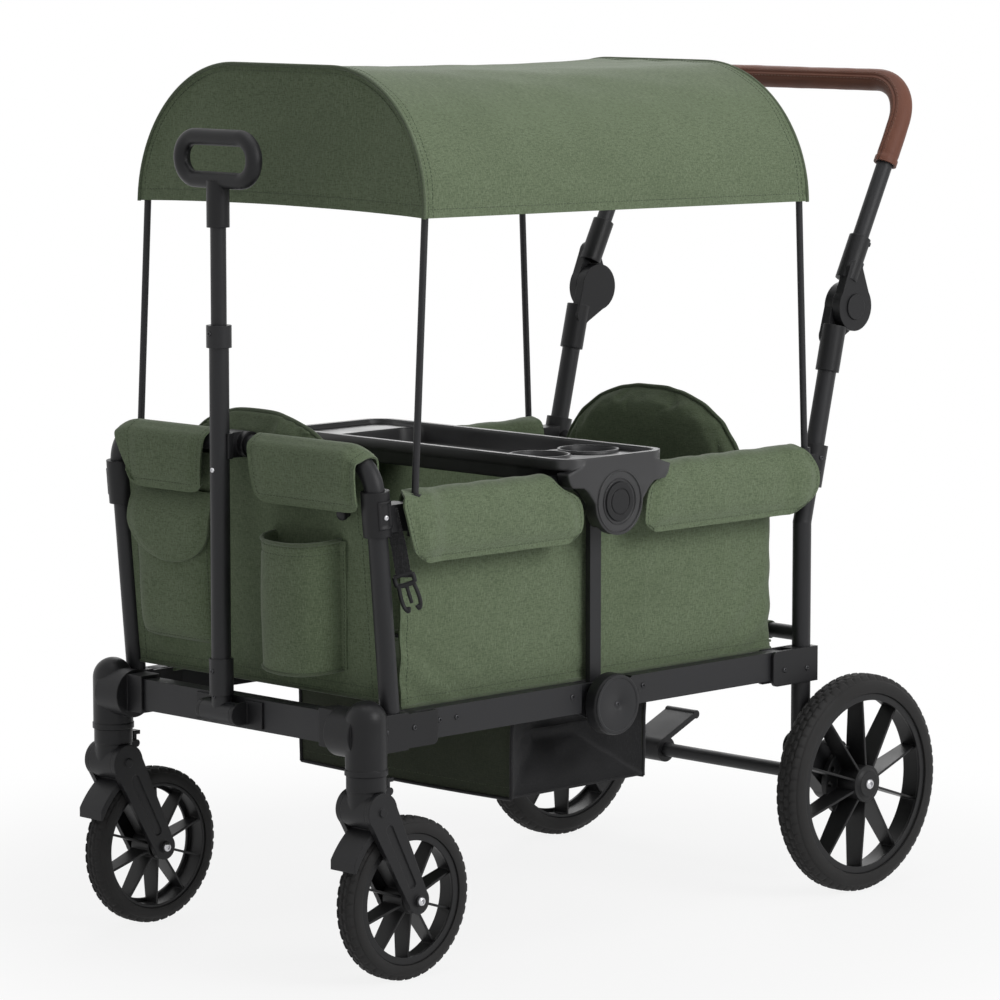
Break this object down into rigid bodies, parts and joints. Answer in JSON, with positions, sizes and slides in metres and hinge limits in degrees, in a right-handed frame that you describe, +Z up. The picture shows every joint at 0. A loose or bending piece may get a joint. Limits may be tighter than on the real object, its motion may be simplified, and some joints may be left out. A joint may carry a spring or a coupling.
{
  "type": "stroller wagon",
  "caption": "Folding stroller wagon with fabric tub, barrel canopy on bows, snack tray, swivel casters, spoked rear wheels, telescoping pull handle and turning push handle.",
  "frame": {"origin": "on the ground, under the centre of the overall box", "axes": "+Z up, -Y towards the pull handle and casters, +X to the left-hand side of a person who looks from the casters"},
  "size_m": [0.608, 1.0788, 1.1271],
  "materials": {
    "frame_paint": "charcoal powder coat, fine satin",
    "moulding": "black satin moulding with a fine grain",
    "wheel_plastic": "black satin moulding",
    "tyre": "matt black rubber with a small-block tread",
    "sage_fabric": "heathered olive green woven fabric",
    "deep_fabric": "darker olive green woven fabric",
    "well_fabric": "olive green front with black nylon sides",
    "brown_leather": "smooth brown stitched leather",
    "steel": "plain steel"
  },
  "bodies": {
    "rear_frame": {"rear_posts": "frame_paint", "rear_brackets": "moulding", "rear_collars": "moulding", "rear_feet": "moulding", "rear_axle": "frame_paint", "handle_hub_bases": "moulding", "tub": "sage_fabric", "footwell": "well_fabric", "rear_seat": "deep_fabric"},
    "rear_lower_rails": {"rear_lower_rails": "frame_paint"},
    "front_lower_rails": {"front_lower_rails": "frame_paint"},
    "rear_upper_rails": {"rear_upper_rails": "frame_paint", "rear_side_flaps": "sage_fabric"},
    "front_upper_rails": {"front_upper_rails": "frame_paint", "front_side_flaps": "sage_fabric"},
    "mid_frame": {"mid_posts": "frame_paint", "lower_hinges": "moulding", "upper_hinges": "moulding"},
    "front_frame": {"front_posts": "frame_paint", "front_hoop": "frame_paint", "front_collars": "moulding", "caster_housings": "moulding", "front_crossbar": "frame_paint", "pull_mounts": "moulding", "front_panel": "sage_fabric", "front_pockets": "sage_fabric", "front_flaps": "sage_fabric", "front_seat": "deep_fabric"},
    "push_handle": {"push_handle_tube": "frame_paint", "push_handle_grip": "brown_leather", "push_handle_hubs": "moulding"},
    "pull_handle": {"pull_tube_lower": "frame_paint"},
    "pull_extension": {"pull_tube_upper": "frame_paint", "pull_grip": "moulding"},
    "tray": {"tray": "moulding"},
    "canopy_front": {"canopy_bow_front": "frame_paint"},
    "canopy_rear": {"canopy_bow_rear": "frame_paint", "canopy_cover": "sage_fabric"},
    "brake_pedal": {"brake_pedal": "moulding"},
    "caster_left": {"caster_crown_left": "moulding", "caster_fork_left": "moulding"},
    "swivel_lock_left": {"swivel_lock_left": "moulding"},
    "front_wheel_left": {"front_tyre_left": "tyre", "front_rim_left": "wheel_plastic"},
    "rear_wheel_left": {"rear_tyre_left": "tyre", "rear_rim_left": "wheel_plastic"},
    "brake_pin_left": {"brake_pin_left": "steel"},
    "push_button_left": {"push_button_left": "moulding"},
    "tray_button_left": {"tray_button_left": "moulding"},
    "caster_right": {"caster_crown_right": "moulding", "caster_fork_right": "moulding"},
    "swivel_lock_right": {"swivel_lock_right": "moulding"},
    "front_wheel_right": {"front_tyre_right": "tyre", "front_rim_right": "wheel_plastic"},
    "rear_wheel_right": {"rear_tyre_right": "tyre", "rear_rim_right": "wheel_plastic"},
    "brake_pin_right": {"brake_pin_right": "steel"},
    "push_button_right": {"push_button_right": "moulding"},
    "tray_button_right": {"tray_button_right": "moulding"}
  },
  "joints": [
    {"name": "fold", "type": "hinge", "parent": "rear_frame", "child": "rear_lower_rails", "pos_m": [0, 0.25457, 0.318], "axis": [-1, 0, 0], "range_deg": [0, 60], "deforming": ["tub", "footwell", "canopy_cover", "front_seat", "rear_seat", "front_side_flaps", "rear_side_flaps", "front_panel", "front_flaps"]},
    {"name": "mid_fold", "type": "hinge", "parent": "rear_lower_rails", "child": "mid_frame", "pos_m": [0, -0.08243, 0.307], "axis": [-1, 0, 0], "range_deg": [-60, 0]},
    {"name": "front_rail_fold", "type": "hinge", "parent": "mid_frame", "child": "front_lower_rails", "pos_m": [0, -0.08243, 0.307], "axis": [-1, 0, 0], "range_deg": [-60, 0]},
    {"name": "front_frame_fold", "type": "hinge", "parent": "front_lower_rails", "child": "front_frame", "pos_m": [0, -0.41943, 0.318], "axis": [-1, 0, 0], "range_deg": [0, 60]},
    {"name": "rear_upper_fold", "type": "hinge", "parent": "rear_frame", "child": "rear_upper_rails", "pos_m": [0, 0.25457, 0.581], "axis": [-1, 0, 0], "range_deg": [0, 60]},
    {"name": "front_upper_fold", "type": "hinge", "parent": "mid_frame", "child": "front_upper_rails", "pos_m": [0, -0.08243, 0.57], "axis": [-1, 0, 0], "range_deg": [-60, 0]},
    {"name": "swivel_left", "type": "hinge", "parent": "front_frame", "child": "caster_left", "pos_m": [0.24, -0.49743, 0.266], "axis": [0, 0, 1], "continuous": true},
    {"name": "front_wheel_spin_left", "type": "hinge", "parent": "caster_left", "child": "front_wheel_left", "pos_m": [0.24, -0.43643, 0.103], "axis": [1, 0, 0], "continuous": true},
    {"name": "swivel_lock_left", "type": "hinge", "parent": "caster_left", "child": "swivel_lock_left", "pos_m": [0.24, -0.46643, 0.242], "axis": [-1, 0, 0], "range_deg": [0, 30]},
    {"name": "rear_wheel_spin_left", "type": "hinge", "parent": "rear_frame", "child": "rear_wheel_left", "pos_m": [0.28, 0.37357, 0.148], "axis": [1, 0, 0], "continuous": true},
    {"name": "brake_pin_slide_left", "type": "slide", "parent": "rear_frame", "child": "brake_pin_left", "axis": [1, 0, 0], "range_m": [0, 0.005]},
    {"name": "push_button_press_left", "type": "slide", "parent": "push_handle", "child": "push_button_left", "axis": [-1, 0, 0], "range_m": [0, 0.004], "stiffness_N_per_m": 800},
    {"name": "tray_button_press_left", "type": "slide", "parent": "tray", "child": "tray_button_left", "axis": [-1, 0, 0], "range_m": [0, 0.004], "stiffness_N_per_m": 800},
    {"name": "swivel_right", "type": "hinge", "parent": "front_frame", "child": "caster_right", "pos_m": [-0.24, -0.49743, 0.266], "axis": [0, 0, 1], "continuous": true},
    {"name": "front_wheel_spin_right", "type": "hinge", "parent": "caster_right", "child": "front_wheel_right", "pos_m": [-0.24, -0.43643, 0.103], "axis": [1, 0, 0], "continuous": true},
    {"name": "swivel_lock_right", "type": "hinge", "parent": "caster_right", "child": "swivel_lock_right", "pos_m": [-0.24, -0.46643, 0.242], "axis": [-1, 0, 0], "range_deg": [0, 30]},
    {"name": "rear_wheel_spin_right", "type": "hinge", "parent": "rear_frame", "child": "rear_wheel_right", "pos_m": [-0.28, 0.37357, 0.148], "axis": [1, 0, 0], "continuous": true},
    {"name": "brake_pin_slide_right", "type": "slide", "parent": "rear_frame", "child": "brake_pin_right", "axis": [-1, 0, 0], "range_m": [0, 0.005]},
    {"name": "push_button_press_right", "type": "slide", "parent": "push_handle", "child": "push_button_right", "axis": [1, 0, 0], "range_m": [0, 0.004], "stiffness_N_per_m": 800},
    {"name": "tray_button_press_right", "type": "slide", "parent": "tray", "child": "tray_button_right", "axis": [1, 0, 0], "range_m": [0, 0.004], "stiffness_N_per_m": 800},
    {"name": "brake_press", "type": "hinge", "parent": "rear_frame", "child": "brake_pedal", "pos_m": [-0.1, 0.37357, 0.148], "axis": [-1, 0, 0], "range_deg": [0, 20]},
    {"name": "push_handle_turn", "type": "hinge", "parent": "rear_frame", "child": "push_handle", "pos_m": [0, 0.39459, 0.79], "axis": [-1, 0, 0], "range_deg": [-35, 100]},
    {"name": "pull_handle_turn", "type": "hinge", "parent": "front_frame", "child": "pull_handle", "pos_m": [0, -0.52143, 0.318], "axis": [1, 0, 0], "range_deg": [0, 95]},
    {"name": "pull_extend", "type": "slide", "parent": "pull_handle", "child": "pull_extension", "axis": [0, 0, 1], "range_m": [-0.095, 0.1]},
    {"name": "tray_lift", "type": "slide", "parent": "mid_frame", "child": "tray", "axis": [0, 0, 1], "range_m": [0, 0.07]},
    {"name": "canopy_front_lift", "type": "slide", "parent": "front_frame", "child": "canopy_front", "axis": [0, 0.0523, 0.9986], "range_m": [0, 0.06]},
    {"name": "canopy_rear_lift", "type": "slide", "parent": "rear_frame", "child": "canopy_rear", "axis": [0, -0.0436, 0.999], "range_m": [0, 0.06]}
  ],
  "couplings": [
    {"joint": "mid_fold", "follows": "fold", "ratio": -1},
    {"joint": "front_rail_fold", "follows": "fold", "ratio": -1},
    {"joint": "front_frame_fold", "follows": "fold", "ratio": 1},
    {"joint": "rear_upper_fold", "follows": "fold", "ratio": 1},
    {"joint": "front_upper_fold", "follows": "fold", "ratio": -1},
    {"joint": "brake_pin_slide_left", "follows": "brake_press", "m_per_rad": 0.013},
    {"joint": "brake_pin_slide_right", "follows": "brake_press", "m_per_rad": 0.013},
    {"joint": "canopy_rear_lift", "follows": "canopy_front_lift", "ratio": 1}
  ]
}
